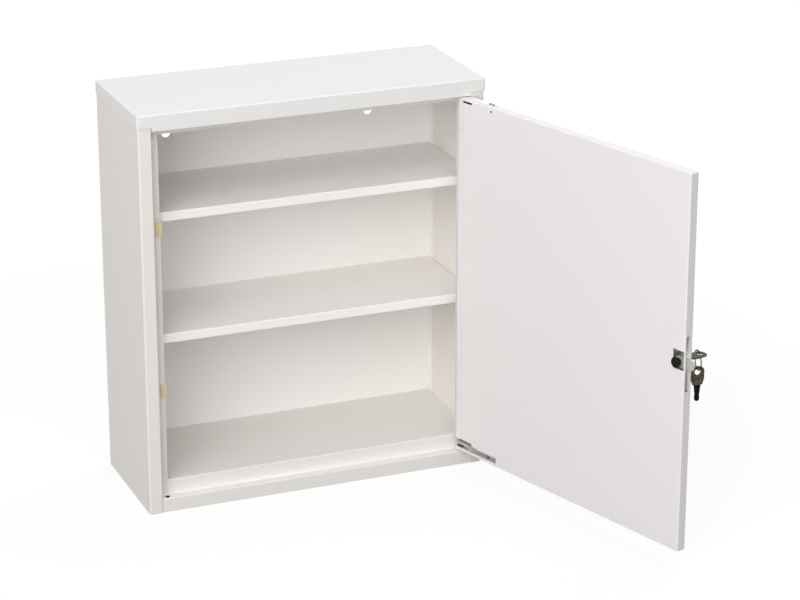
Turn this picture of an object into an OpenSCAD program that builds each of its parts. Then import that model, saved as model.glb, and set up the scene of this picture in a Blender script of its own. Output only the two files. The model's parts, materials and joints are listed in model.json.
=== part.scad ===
// Wall-hung lockable medicine cabinet, folded sheet steel, door standing open.
// Frame: +Z up, front towards -Y, origin midway between the two wall holes on the rear plane.

/* [Cabinet] */
// Overall width over the lid
cab_w = 480; // [440:1:560]
// Overall depth, rear face to lid front
cab_d = 185; // [150:1:240]
// Overall height
cab_h = 550; // [520:1:640]
// Sheet thickness of the carcass and door skins
sheet_t = 1.0; // [0.8:0.05:1.2]
// Height of the wall holes above the underside
hang_z = 467; // [430:1:490]
// Distance between the two wall holes
hang_pitch = 290; // [200:1:340]
// Radius of each wall hole
hang_r = 6.5; // [3:0.25:8]

/* [Lid] */
// Height of the lid skirt at the sides and rear
lid_skirt = 17; // [12:0.5:24]
// Extra depth of the front skirt between the stiles
lid_drop = 5; // [3:0.25:5]
// Gap between the lid skirt and the side panels
lid_gap = 0.5; // [0.2:0.05:1]

/* [Front frame] */
// Width of each front stile
stile_w = 18; // [15:0.5:24]
// Set-back of the stiles behind the lid front
stile_back = 1.3; // [1.2:0.05:2]
// Set-back of the stop lips behind the lid front
stop_y = 16; // [15.8:0.2:20]
// Width of the stop lip on the hinge side
lip_right = 14; // [10:0.5:15]
// Width of the stop lip on the lock side
lip_left = 12; // [8:0.5:12.5]
// Height of the front rail under the door
rail_z = 19.4; // [17:0.2:22]
// Height of the cabinet floor
floor_z = 40; // [34:1:60]

/* [Shelves] */
// Top of the lower shelf
shelf_low_z = 243; // [200:1:250]
// Top of the upper shelf
shelf_up_z = 411; // [310:1:430]
// Height of a shelf's front lip
shelf_lip = 13; // [8:0.5:20]
// Set-back of the shelves behind the lid front
shelf_y = 24; // [23:0.5:40]

/* [Door] */
// Door thickness over both skins
door_t = 13.4; // [12.4:0.1:13.4]
// Gap at the free edge of the closed door
edge_gap = 3.5; // [3:0.1:5]
// Gap between the rail and the door
foot_gap = 2.4; // [2:0.1:3]
// Gap between the lid's front skirt and the door
head_gap = 2.5; // [2.2:0.1:4]
// Distance from the hinge-side return to the pivot axis
pivot_in = 8.5; // [8.5:0.1:9.5]
// Pivot axis behind the lid front
pivot_y = 7.3; // [7.3:0.05:7.5]
// Opening angle of the door as modelled
open_angle = 107.5; // [95:0.5:107.5]

/* [Hinge pins] */
// Radius of the hinge pins
pin_r = 2.1; // [1.5:0.05:2.5]
// Running clearance of pins, plug and other turning fits
run_gap = 0.05; // [0.02:0.01:0.08]
// Width of the hinge straps
strap_w = 11; // [9:0.1:11]
// Thickness of the lower strap
strap_low_t = 2.5; // [2:0.1:3]
// Thickness of the upper strap
strap_up_t = 1.5; // [1:0.1:2]

/* [Lock] */
// Height of the lock axis above the underside
lock_z = 276; // [260:1:290]
// Distance from the door's free edge to the lock axis
backset = 15; // [14:0.5:15]
// Reach of the cam beyond the free edge
cam_out = 11.3; // [8:0.1:12]
// Width of the cam
cam_w = 15; // [12:0.5:15]
// Thickness of the cam
cam_t = 2.5; // [1.5:0.1:2.5]
// Radius of the cap that holds the cam
cap_r = 7.2; // [7:0.1:8]

/* [Keys] */
// Length of a key's bow
bow_len = 25; // [22:0.5:26]
// Width of a key's bow
bow_w = 18; // [16:0.5:18]
// Thickness of a key's bow
bow_t = 2; // [1.6:0.1:2]
// Length of a key's blade
blade_len = 22; // [21:0.5:24]
// Radius of the key ring, centre of its wire
ring_r = 12.9; // [12.9:0.1:13.2]
// Radius of the key ring's wire
wire_r = 1.0; // [0.8:0.05:1]

/* [Hidden] */
$fn = 64;

t = sheet_t;
fit_gap = 0.2;             // side play of panels that drop between the returns
e = 0.5;                   // overrun of cutting shapes
web_out = cab_w / 2 - t - lid_gap;      // outer face of the side panels
web_in = web_out - t;                   // inner face of the side panels
open_half = web_out - stile_w;          // hinge- and lock-side returns, faces to the opening
rear_in = cab_d - t;                    // front face of the rear sheet
under_lid = cab_h - t;                  // underside of the lid's top
skirt_z = cab_h - lid_skirt;            // lower edge of the side and rear skirts
drop_z = skirt_z - lid_drop;            // lower edge of the deep front skirt
head_z = skirt_z - 3;                   // underside of the top channel's web
stop_back = stop_y + t;                 // rear of the stop lips
lip_right_x = open_half - lip_right;    // inner edge of the hinge-side stop lip
lip_left_x = -open_half + lip_left;     // inner edge of the lock-side stop lip
hem = 5;                                // depth of the hem behind the lock-side lip
flange = 12;                            // width of hidden flanges
stile_fold = 1.6;                       // outer radius of the stile's inner fold
corner_r = 2.5;                         // outer radius of the cabinet's front corners
lid_corner = 2.5;                        // radius of the lid's corners
tray_half = open_half - fit_gap;
fold_r = 1.6;                           // outer radius of the other visible folds
rail_y = 2.3;                           // rail face behind the lid front
strike_half = 21.5;                     // half height of the strike slot
dot_up = 13;                            // small holes above the middles of the buffers
dot_in = 3;                             // the same, from the lip's inner edge
head_lip = 11;                          // height of the stop lip under the top channel

pivot_x = open_half - pivot_in;
half_t = door_t / 2;
door_len = open_half + pivot_x - edge_gap;   // from the pivot axis to the free edge
door_bot = rail_z + foot_gap;
door_top = drop_z - head_gap;
skin_lip = 4.2;                         // height of the skin's return round the liner, bottom
skin_lip_top = 3;                       // the same at the top
liner_a = 7;                            // liner edge beside the hinge nose
liner_end = door_len - t;               // liner edge at the free side
liner_bot = door_bot + skin_lip;
liner_top = door_top - skin_lip_top;
notch_top = liner_bot + 13;
notch_a = 30;
notch_low_top = liner_bot + 9;
notch_low_a = 80;
vent_h = 2.2;                           // height of the vent slot in the liner
window_near = 5.2;                      // lock window, from the lock axis towards the hinge
window_up = 17.5;                       // lock window above the lock axis

plate_t = 2;                            // bearing plates
plate_front = 3.3;                      // from the pivot forwards, clear of the rail's fold
arm_z = door_bot + 8.7;                 // underside of the lower strap's raised arm
strap_a = 78;
strap_up_a = 62;
screw_low_a = 57;                       // screw of the lower strap, from the pivot
screw_up_a = [53.5, 59.5];              // screws of the upper strap
screw_r = 1.25;
rivet_a = 62.5;                         // rivet of the liner, from the pivot
rivet_down = 2.5;                       // the same, below the liner's upper edge
stiff_in = 40;                          // stiffener's ends, from the door's ends
collar_t = 1.2;
pin_tip_z = rail_z - 1.8;
pin_head_t = 1.2;

lock_a = door_len - backset;
cam_y0 = -0.7;                          // front face of the cam, from the door's middle
cam_y1 = cam_y0 + cam_t;
cap_end = stop_y - pivot_y - 0.5;       // stays in front of the stop lip
cap_back = half_t + 0.1;                // the disc turns just clear of the liner
neck_r = 4.6;                           // neck between the disc and the cam
barrel_r = 9;
plug_r = 6;
bezel_t = 1.7;
slot_half_z = 37;                       // cam slot in the door's free edge
slot_y0 = -2.6;                         // its outer side, from the door's middle
tang = 8.4;

bow_start = half_t + 11.8;              // bow's near end, in front of the door's middle
bow_end = bow_start + bow_len;
bow_hole_r = 4;
hole_in = 7.5;                          // hole of a key, from the bow's end
bow_hole = bow_end - hole_in;           // hole of the key in the lock
ring_turn = 26.8;                       // plane of the ring, turned from the door's length
ring_aside = 6.7;                       // ring's centre, from the hole's centre
ring_drop = 10.3;                       // the same, below the middle of the bow

// A box given by its six limits
module box(x0, x1, y0, y1, z0, z1) {
    translate([x0, y0, z0]) cube([x1 - x0, y1 - y0, z1 - z0]);
}

// A rectangle given by its four limits
module rect(x0, x1, y0, y1) {
    translate([x0, y0]) square([x1 - x0, y1 - y0]);
}

// A rectangle with round corners, r each
module round_rect(x0, x1, y0, y1, r) {
    rect(x0 + r, x1 - r, y0, y1);
    rect(x0, x1, y0 + r, y1 - r);
    for (x = [x0 + r, x1 - r])
        for (y = [y0 + r, y1 - r])
            translate([x, y]) circle(r);
}

// A quarter of a folded corner, outer radius r, in quadrant q
module quarter(r, q) {
    rotate([0, 0, 90 * q]) intersection() {
        difference() {
            circle(r);
            circle(r - t);
        }
        square(r);
    }
}

// A section drawn in (y, z), extruded from x0 to x1
module along_x(x0, x1) {
    translate([x0, 0, 0]) rotate([90, 0, 90]) linear_extrude(x1 - x0) children();
}

// Cabinet coordinates (front lid plane, underside) to the shared frame
module placed() {
    translate([0, -cab_d, -hang_z]) children();
}

// Door coordinates: x = 0 on the pivot, free edge towards -x, y = 0 at mid thickness
module on_door() {
    placed() translate([pivot_x, pivot_y, 0]) rotate([0, 0, open_angle]) children();
}

// Lock axis along y, at the origin
module on_lock() {
    on_door() translate([-lock_a, 0, lock_z]) children();
}

// Ring coordinates: x outwards across the bow, z up, origin in the bow above the ring's centre
module on_ring() {
    on_lock() translate([0, -bow_hole, 0]) rotate([0, 0, -ring_turn])
        translate([ring_aside, 0, 0]) children();
}

// Spare key coordinates: origin at the ring's lowest wire, key hanging down, flat across x
module on_spare() {
    on_ring() translate([0, 0, -ring_drop - ring_r]) children();
}

/* Cabinet ------------------------------------------------------------ */

module lid() {
    hw = cab_w / 2;
    color([0.92, 0.915, 0.91]) placed() difference() {
        translate([0, 0, drop_z]) linear_extrude(cab_h - drop_z)
            round_rect(-hw, hw, 0, cab_d, lid_corner);
        translate([0, 0, drop_z - e]) linear_extrude(under_lid - drop_z + e)
            round_rect(-hw + t, hw - t, t, rear_in, lid_corner - t);
        box(-hw - e, hw + e, t + 0.01, cab_d + e, drop_z - e, skirt_z);
        box(-hw - e, -tray_half, -e, cab_d + e, drop_z - e, skirt_z);
        box(tray_half, hw + e, -e, cab_d + e, drop_z - e, skirt_z);
    }
}

// Outline of the stile's box, for x > 0, drawn in by k: k = 0 outside, k = t inside
module stile_plan(k) {
    fold = open_half + stile_fold;
    bend = web_out - corner_r;
    back = stop_back + (k > 0 ? e : 0);
    rect(open_half + k, web_out - k, stile_back + stile_fold, back);
    rect(fold, bend, stile_back + k, back);
    translate([fold, stile_back + stile_fold]) circle(stile_fold - k);
    translate([bend, stile_back + corner_r]) circle(corner_r - k);
}

// A side panel for x > 0: web, stile, return, stop lip and its hem
module side_panel(lip, hem_len) {
    lip_x = open_half - lip;
    difference() {
        union() {
            linear_extrude(under_lid) {
                difference() {
                    stile_plan(0);
                    stile_plan(t);
                }
                rect(web_in, web_out, stop_back - e, cab_d);
            }
            // the lip stands on the rail's ledge
            translate([0, 0, rail_z]) linear_extrude(head_z - rail_z) {
                rect(lip_x, open_half + t, stop_y, stop_back);
                if (hem_len > 0) rect(lip_x, lip_x + t, stop_back, stop_back + hem_len);
            }
            for (z = [t, under_lid - t])
                box(web_in - flange, web_in, stop_back + t, cab_d - 2 * t, z, z + t);
        }
        // relief behind the lid's rear skirt
        box(web_in - e, web_out + e, rear_in - 0.8, cab_d + e, skirt_z - 0.3, cab_h);
    }
}

module side_left() {
    color([0.85, 0.835, 0.825]) placed() mirror([1, 0, 0]) difference() {
        side_panel(lip_left, hem);
        // strike slot for the cam
        box(open_half - e, open_half + t + e, pivot_y + cam_y0 - 2.1, pivot_y + cam_y1 + 1.9,
            lock_z - strike_half, lock_z + strike_half);
        // two small holes above the buffers
        for (z = buffer_z)
            translate([-lip_left_x + dot_in, stop_y + t / 2, z + dot_up])
                rotate([90, 0, 0]) cylinder(r = 0.9, h = 3, center = true);
    }
}

module side_right() {
    color([0.85, 0.835, 0.825]) placed() side_panel(lip_right, 0);
}

module back_panel() {
    color([0.84, 0.825, 0.805]) placed() difference() {
        union() {
            box(-web_in, web_in, rear_in, cab_d, 0, skirt_z - 0.3);
            for (s = [-1, 1]) mirror([s < 0 ? 1 : 0, 0, 0])
                box(web_in - t, web_in, rear_in - flange, rear_in, 2 * t, under_lid - 2 * t);
        }
        for (s = [-1, 1])
            translate([s * hang_pitch / 2, cab_d, hang_z])
                rotate([90, 0, 0]) cylinder(r = hang_r, h = 4 * t, center = true);
    }
}

module floor_tray() {
    xr = lip_right_x - fit_gap;
    xl = lip_left_x + fit_gap;
    behind = stop_back + hem + fit_gap;
    before = rear_in - flange - fit_gap;
    color([0.84, 0.83, 0.82]) placed() difference() {
        union() {
            // rail, its ledge and the flange on the base
            along_x(-tray_half, tray_half) {
                rect(rail_y, rail_y + t, 0, rail_z - fold_r);
                translate([rail_y + fold_r, rail_z - fold_r]) quarter(fold_r, 1);
                rect(rail_y + fold_r, stop_back, rail_z - t, rail_z);
                rect(rail_y, rail_y + flange, t, 2 * t);
            }
            // riser behind the door, turned over into the floor
            along_x(xl, xr) {
                translate([stop_back - fold_r, rail_z - t + fold_r]) quarter(fold_r, 3);
                rect(stop_y, stop_back, rail_z, floor_z - fold_r);
                translate([stop_y + fold_r, floor_z - fold_r]) quarter(fold_r, 1);
                rect(stop_y + fold_r, behind, floor_z - t, floor_z);
            }
            box(xr - e, web_in, stop_back + fit_gap, behind + e, floor_z - t, floor_z);
            box(-web_in, web_in, behind, before, floor_z - t, floor_z);
            box(-web_in + t + fit_gap, web_in - t - fit_gap, before - e, rear_in,
                floor_z - t, floor_z);
            // flanges welded to the sides and the back
            for (s = [0, 1]) mirror([s, 0, 0])
                box(web_in - t, web_in, 30, rear_in - flange - 2, rail_z, floor_z);
            box(-web_in + 6, web_in - 6, rear_in - t, rear_in, rail_z, floor_z);
        }
        // relief notches in the rear corners of the floor
        for (s = [0, 1]) mirror([s, 0, 0])
            box(web_in - 5, web_in + e, rear_in - 4, rear_in + e, floor_z - t - e, floor_z + e);
        // hinge pin holes, one for each hand
        for (s = [-1, 1])
            translate([s * pivot_x, pivot_y, rail_z - 2 * t]) cylinder(r = pin_r + 0.2, h = 4 * t);
    }
}

module base_plate() {
    color([0.78, 0.775, 0.77]) placed() {
        box(-web_in, web_in, stop_back + fit_gap, rear_in, 0, t);
        box(-tray_half, tray_half, rail_y + t, stop_back + fit_gap, 0, t);
    }
}

module top_channel() {
    color([0.83, 0.82, 0.81]) placed() difference() {
        union() {
            box(-tray_half, tray_half, t, stop_back, head_z, head_z + t);
            box(-tray_half, tray_half, t, 2 * t, head_z, under_lid - fit_gap);
            box(lip_left_x + fit_gap, lip_right_x - fit_gap, stop_y, stop_back,
                head_z - head_lip, head_z);
        }
        for (s = [-1, 1])
            translate([s * pivot_x, pivot_y, head_z - t]) cylinder(r = pin_r + 0.2, h = 4 * t);
    }
}

// A fixed shelf: flat top, folded front lip with a hem, flange at the back
module shelf(top) {
    half = web_in - t - fit_gap;
    low = top - shelf_lip;
    placed() along_x(-half, half) {
        rect(shelf_y + fold_r, rear_in, top - t, top);
        translate([shelf_y + fold_r, top - fold_r]) quarter(fold_r, 1);
        rect(shelf_y, shelf_y + t, low + fold_r, top - fold_r);
        translate([shelf_y + fold_r, low + fold_r]) quarter(fold_r, 2);
        rect(shelf_y + fold_r, shelf_y + hem, low, low + t);
        rect(rear_in - t, rear_in, low, top);
    }
}

module shelf_upper() {
    color([0.81, 0.80, 0.77]) shelf(shelf_up_z);
}

module shelf_lower() {
    color([0.84, 0.83, 0.81]) shelf(shelf_low_z);
}

// Four small angles under the shelf ends
module shelf_rests() {
    color([0.8, 0.795, 0.79]) placed()
        for (z = [shelf_low_z - t, shelf_up_z - t])
            for (s = [0, 1]) mirror([s, 0, 0]) {
                box(web_in - flange, web_in, shelf_y + 10, rear_in - flange - 2, z - t, z);
                box(web_in - t, web_in, shelf_y + 10, rear_in - flange - 2, z - flange, z - t);
            }
}

// A small plate that carries a hinge pin
module bearing(z0) {
    placed() difference() {
        box(pivot_x - 8, pivot_x + 8, pivot_y - plate_front, pivot_y + 8, z0, z0 + plate_t);
        translate([pivot_x, pivot_y, z0 - e]) cylinder(r = pin_r + run_gap, h = plate_t + 2 * e);
    }
}

module bearing_plate_lower() {
    color([0.72, 0.73, 0.74]) bearing(rail_z - t - plate_t);
}

module bearing_plate_upper() {
    color([0.72, 0.73, 0.74]) bearing(head_z + t);
}

module thrust_washer() {
    color([0.75, 0.75, 0.76]) placed() translate([pivot_x, pivot_y, rail_z]) difference() {
        cylinder(r = 4.6, h = foot_gap - 0.1);
        translate([0, 0, -e]) cylinder(r = pin_r + 0.2, h = foot_gap + 2 * e);
    }
}

// Plug that fills the pivot hole for the other hand
module hole_plug() {
    color([0.05, 0.05, 0.055]) placed() translate([-pivot_x, pivot_y, rail_z]) {
        translate([0, 0, -2 * t]) cylinder(r = pin_r + 0.15, h = 2 * t);
        cylinder(r = pin_r + 0.7, h = 0.8);
        translate([0, 0, 0.8]) cylinder(r = pin_r, h = 0.6);
    }
}

buffer_up = 128;                        // lower buffer above the floor
buffer_down = 18;                       // upper buffer below the upper shelf's top
buffer_z = [floor_z + buffer_up, shelf_up_z - buffer_down];
buffer_t = stop_y - (pivot_y + half_t) - 0.3;

// Two clip-on pads on the lock-side stop lip
module buffers() {
    color([0.72, 0.62, 0.45]) placed() mirror([1, 0, 0])
        for (z = buffer_z) translate([0, 0, z]) {
            box(-lip_left_x - 1.8, -lip_left_x + 6.5, stop_y - buffer_t, stop_y, -10, 10);
            box(-lip_left_x - 1.8, -lip_left_x, stop_y - buffer_t, stop_back + hem, -10, 10);
        }
}

/* Door --------------------------------------------------------------- */

// Plan of the door: full-round nose on the pivot, square free edge
module door_plan(in) {
    r = half_t - in;
    k = 1.6 - in;
    circle(r);
    rect(-door_len + in + k, 0, -r, r);
    rect(-door_len + in, 0, -r + k, r - k);
    for (s = [-1, 1]) translate([-door_len + in + k, s * (r - k)]) circle(k);
}

module door_skin() {
    color([0.9, 0.89, 0.885]) on_door() difference() {
        union() {
            difference() {
                translate([0, 0, door_bot]) linear_extrude(door_top - door_bot) door_plan(0);
                translate([0, 0, door_bot + t]) linear_extrude(door_top - door_bot - 2 * t)
                    door_plan(t);
            }
            // flange folded in along the cam slot
            box(-liner_end - e, -liner_end + 4.6, slot_y0 - t, slot_y0, lock_z - slot_half_z,
                lock_z + slot_half_z);
        }
        // opening for the liner
        box(-liner_end, -liner_a, half_t - 2 * t, half_t + e, liner_bot, liner_top);
        // recess in the nose round the lower pin
        box(-liner_a - e, half_t + e, -1, half_t + e, liner_bot, notch_top);
        // vent slot beside the upper pin
        box(-24, -6.2, 3, half_t + e, liner_top - vent_h, liner_top + 0.5);
        // cam slot in the free edge
        box(-door_len - e, -door_len + t + e, slot_y0, 3.9, lock_z - slot_half_z,
            lock_z + slot_half_z);
        // lock hole
        translate([-lock_a, 0, lock_z]) rotate([90, 0, 0]) cylinder(r = barrel_r, h = half_t + e);
        // pin holes
        translate([0, 0, door_bot - e]) cylinder(r = pin_r + 0.2, h = t + 2 * e);
        translate([0, 0, door_top - t - e]) cylinder(r = pin_r, h = t + 2 * e);
        // strap screws
        translate([-screw_low_a, 0, door_bot - e]) cylinder(r = screw_r, h = t + 2 * e);
        for (a = screw_up_a)
            translate([-a, 0, door_top - t - e]) cylinder(r = screw_r, h = t + 2 * e);
    }
}

module door_liner() {
    r = 2.2;
    color([0.905, 0.89, 0.885]) on_door() difference() {
        union() {
            translate([0, 0, liner_bot]) linear_extrude(liner_top - liner_bot) {
                rect(-liner_end, -liner_a - r, half_t - t, half_t);
                rect(-liner_a - t, -liner_a, -half_t + t, half_t - r);
                translate([-liner_a - r, half_t - r]) quarter(r, 0);
            }
            box(-liner_end, -liner_a - t, -half_t + t, half_t - t, liner_top - t, liner_top);
            box(-liner_end, -notch_low_a - 2, -half_t + t, half_t - t, liner_bot, liner_bot + t);
        }
        // notch that shows the lower strap
        box(-notch_a, 0, -half_t, half_t + e, liner_bot - e, notch_top);
        box(-notch_low_a, 0, -half_t, half_t + e, liner_bot - e, notch_low_top);
        // vent slot beside the upper pin
        box(-24, -6.2, 3, half_t + e, liner_top - vent_h, liner_top + 0.5);
        // window round the neck of the cam's cap, open to the free edge
        box(-liner_end - e, -lock_a + window_near, half_t - t - e, half_t + e,
            lock_z - cap_r - 0.8, lock_z + window_up);
        translate([-rivet_a, half_t - t - e, liner_top - rivet_down]) rotate([-90, 0, 0])
            cylinder(r = 0.9, h = 2 * t);
    }
}

module door_stiffener() {
    c = -door_len / 2;
    color([0.8, 0.8, 0.8]) on_door() {
        box(c, c + t, -half_t + t, half_t - t, door_bot + stiff_in, door_top - stiff_in);
        box(c + t, c + flange, -half_t + t, -half_t + 2 * t, door_bot + stiff_in,
            door_top - stiff_in);
        box(c - flange, c, half_t - 2 * t, half_t - t, door_bot + stiff_in, door_top - stiff_in);
    }
}

// Plan of a strap: round end on the pivot
module strap_plan(len, r) {
    circle(r);
    rect(-len, 0, -r, r);
}

module strap_upper() {
    color([0.82, 0.82, 0.83]) on_door() translate([0, 0, door_top]) difference() {
        linear_extrude(strap_up_t) strap_plan(strap_up_a, strap_w / 2);
        translate([0, 0, -e]) cylinder(r = pin_r, h = strap_up_t + 2 * e);
        for (a = screw_up_a) translate([-a, 0, -e]) cylinder(r = screw_r, h = strap_up_t + 2 * e);
    }
}

module strap_lower() {
    low = door_bot + t;
    k = strap_low_t;
    color([0.78, 0.78, 0.77]) on_door() difference() {
        intersection() {
            translate([0, strap_w / 2, 0]) rotate([90, 0, 0]) linear_extrude(strap_w)
                polygon([[-strap_a, low], [-26, low], [-20, arm_z], [half_t, arm_z],
                         [half_t, arm_z + k], [-21.4, arm_z + k], [-27.4, low + k],
                         [-strap_a, low + k]]);
            translate([0, 0, low - e]) linear_extrude(30) strap_plan(strap_a + e, strap_w / 2);
        }
        translate([0, 0, arm_z - e]) cylinder(r = pin_r + run_gap, h = k + 2 * e);
        translate([-screw_low_a, 0, low - e]) cylinder(r = screw_r, h = k + 2 * e);
    }
}

// Fixed upper pin, riveted through the strap and the door's top
module pin_upper() {
    tip = head_z + t + plate_t + 3;
    color([0.8, 0.8, 0.81]) on_door() {
        translate([0, 0, door_top - t]) cylinder(r = pin_r, h = tip - 0.8 - door_top + t);
        translate([0, 0, tip - 0.8]) cylinder(r1 = pin_r, r2 = pin_r - 0.8, h = 0.8, $fn = 48);
        translate([0, 0, door_top - t - 1.2]) cylinder(r = pin_r + 1.2, h = 1.2);
    }
}

// Sprung lower pin: lifted by its head to free the door
module pin_lower() {
    color([0.8, 0.8, 0.81]) on_door() {
        translate([0, 0, pin_tip_z]) cylinder(r = pin_r, h = arm_z + strap_low_t + 0.1 - pin_tip_z);
        translate([0, 0, door_bot + t + 0.1]) cylinder(r = pin_r + 1.8, h = collar_t);
        translate([0, 0, arm_z + strap_low_t + 0.1]) cylinder(r = pin_r + 1.2, h = pin_head_t);
    }
}

// Coil spring between the collar and the arm, as the sleeve that it fills
module pin_spring() {
    low = door_bot + t + 0.1 + collar_t + run_gap;
    color([0.45, 0.45, 0.46]) on_door() translate([0, 0, low]) difference() {
        cylinder(r = pin_r + 2.1, h = arm_z - low);
        translate([0, 0, -e]) cylinder(r = pin_r + 0.5, h = arm_z - low + 2 * e);
    }
}

// A pan-head screw along z, head up, seat at z = 0
module pan_screw(len) {
    translate([0, 0, -len]) cylinder(r = screw_r, h = len);
    difference() {
        cylinder(r = 1.9, h = 1.1);
        box(-2, 2, -0.3, 0.3, 0.6, 2);
    }
}

module strap_screws() {
    color([0.6, 0.6, 0.6]) on_door() {
        translate([-screw_low_a, 0, door_bot + t + strap_low_t]) pan_screw(strap_low_t + t);
        for (a = screw_up_a)
            translate([-a, 0, door_top + strap_up_t]) pan_screw(strap_up_t + t);
    }
}

module liner_rivet() {
    color([0.4, 0.4, 0.4]) on_door() translate([-rivet_a, half_t, liner_top - rivet_down])
        rotate([90, 0, 0]) {
        translate([0, 0, -0.5]) cylinder(r = 1.5, h = 0.5);
        cylinder(r = 0.9, h = t);
        translate([0, 0, t]) cylinder(r = 1.4, h = 1);
    }
}

/* Lock and keys ------------------------------------------------------ */

// Lengths along the lock axis run from the outer face (negative) to the inner face
module along(y0, y1, r) {
    translate([0, y0, 0]) rotate([-90, 0, 0]) cylinder(r = r, h = y1 - y0);
}

// Room for the key's blade, from y0 to just past its tip
module key_slot(y0) {
    box(-blade_w / 2 - 0.1, blade_w / 2 + 0.1, y0, blade_tip + 0.2,
        -blade_t / 2 - 0.1, blade_t / 2 + 0.1);
}

module lock_body() {
    color([0.74, 0.74, 0.75]) on_lock() difference() {
        union() {
            along(-half_t - bezel_t, -half_t, 11);
            along(-half_t, cam_y0 - 0.4, barrel_r);
        }
        along(-half_t - bezel_t - e, cam_y0, plug_r + run_gap);
    }
}

module lock_nut() {
    color([0.7, 0.7, 0.71]) on_lock() difference() {
        translate([0, -half_t + t, 0]) rotate([-90, 0, 0]) cylinder(r = 13, h = 2, $fn = 6);
        along(-half_t, 0, barrel_r);
    }
}

// Turning plug: key slot in front, square tang behind for the cam
module lock_plug() {
    color([0.78, 0.77, 0.74]) on_lock() difference() {
        union() {
            along(-half_t - bezel_t - 0.3, cam_y0, plug_r);
            box(-tang / 2, tang / 2, cam_y0, cam_y1, -tang / 2, tang / 2);
        }
        key_slot(-half_t - 4);
    }
}

module cam() {
    reach = backset + cam_out;
    r = cam_w / 2;
    color([0.7, 0.69, 0.66]) on_lock() difference() {
        translate([0, cam_y1, 0]) rotate([90, 0, 0]) linear_extrude(cam_t) {
            circle(r);
            rect(-reach + r, 0, -r, r);
            translate([-reach + r, 0]) circle(r);
        }
        box(-tang / 2 - run_gap, tang / 2 + run_gap, cam_y0 - e, cam_y1 + e,
            -tang / 2 - run_gap, tang / 2 + run_gap);
    }
}

module cam_cap() {
    color([0.05, 0.05, 0.055]) on_lock() difference() {
        union() {
            along(cam_y1, cap_back, neck_r);
            along(cap_back, cap_end - 0.4, cap_r);
            along(cap_end - 0.4, cap_end, cap_r - 0.5);
        }
        // pocket for the key's tip
        key_slot(cam_y1 - e);
    }
}

blade_w = 6.5;
blade_t = 1.8;
blade_tip = -bow_start + blade_len;

// Outline of a bow: blade end at y = 0, hole near the other end
module bow_plan() {
    r = bow_w / 2;
    neck = 6.4;
    difference() {
        union() {
            polygon([[-neck, 0], [neck, 0], [r, 8], [r, bow_len - 7], [-r, bow_len - 7], [-r, 8]]);
            rect(-r + 7, r - 7, 8, bow_len);
            for (s = [-1, 1]) translate([s * (r - 7), bow_len - 7]) circle(7);
        }
        translate([0, bow_len - hole_in]) circle(bow_hole_r);
    }
}

// One edge of a blade from the bow to its round tip, s = 1 right, -1 left
function blade_edge(s) = let (w = blade_w / 2, end = -blade_len + w) concat(
    [[s * 4.5, 0], [s * (w + 0.3), -8], [s * (w + 0.6), -8.6], [s * w, -9.6],
     [s * (w - 0.1), -12], [s * (w - 0.7), -13], [s * w, -14.2]],
    [for (a = [0:10:80]) [s * w * cos(a), end - w * sin(a)]]);

function reversed(list) = [for (i = [len(list) - 1:-1:0]) list[i]];

// Outline of a blade, from the bow at y = 0 down to its round tip
module blade_plan() {
    polygon(concat(blade_edge(1), [[0, -blade_len]], reversed(blade_edge(-1))));
}

module key_bow() {
    color([0.27, 0.27, 0.27]) on_lock() translate([0, -bow_start, 0]) rotate([0, 0, 180])
        translate([0, 0, -bow_t / 2]) linear_extrude(bow_t) bow_plan();
}

module key_blade() {
    color([0.3, 0.3, 0.29]) on_lock() translate([0, -bow_start, 0]) rotate([0, 0, 180])
        translate([0, 0, -blade_t / 2]) linear_extrude(blade_t) blade_plan();
}

module key_ring() {
    color([0.35, 0.35, 0.34]) on_ring() translate([0, 0, -ring_drop]) rotate([90, 0, 0])
        rotate_extrude($fn = 96) translate([ring_r, 0]) circle(wire_r, $fn = 32);
}

// The spare key hangs flat across the ring's plane
module spare_place() {
    hang = bow_hole_r - wire_r - 0.1;
    on_spare() translate([0, 0, -hang + hole_in - bow_len]) rotate([0, 0, 90])
        rotate([90, 0, 0]) children();
}

module spare_bow() {
    color([0.38, 0.3, 0.2]) spare_place()
        translate([0, 0, -bow_t / 2]) linear_extrude(bow_t) bow_plan();
}

module spare_blade() {
    color([0.16, 0.16, 0.13]) spare_place()
        translate([0, 0, -blade_t / 2]) linear_extrude(blade_t) blade_plan();
}

lid();
side_left();
side_right();
back_panel();
floor_tray();
base_plate();
top_channel();
shelf_upper();
shelf_lower();
shelf_rests();
bearing_plate_lower();
bearing_plate_upper();
thrust_washer();
hole_plug();
buffers();
door_skin();
door_liner();
door_stiffener();
strap_upper();
strap_lower();
pin_upper();
pin_lower();
pin_spring();
strap_screws();
liner_rivet();
lock_body();
lock_nut();
lock_plug();
cam();
cam_cap();
key_blade();
key_bow();
key_ring();
spare_bow();
spare_blade();
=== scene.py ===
"""Looks of a wall-hung lockable medicine cabinet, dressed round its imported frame."""

import json
import math
from contextlib import contextmanager

import bmesh
import bpy
from bpy.props import FloatProperty, FloatVectorProperty, IntProperty, PointerProperty
from mathutils import Matrix, Vector


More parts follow.
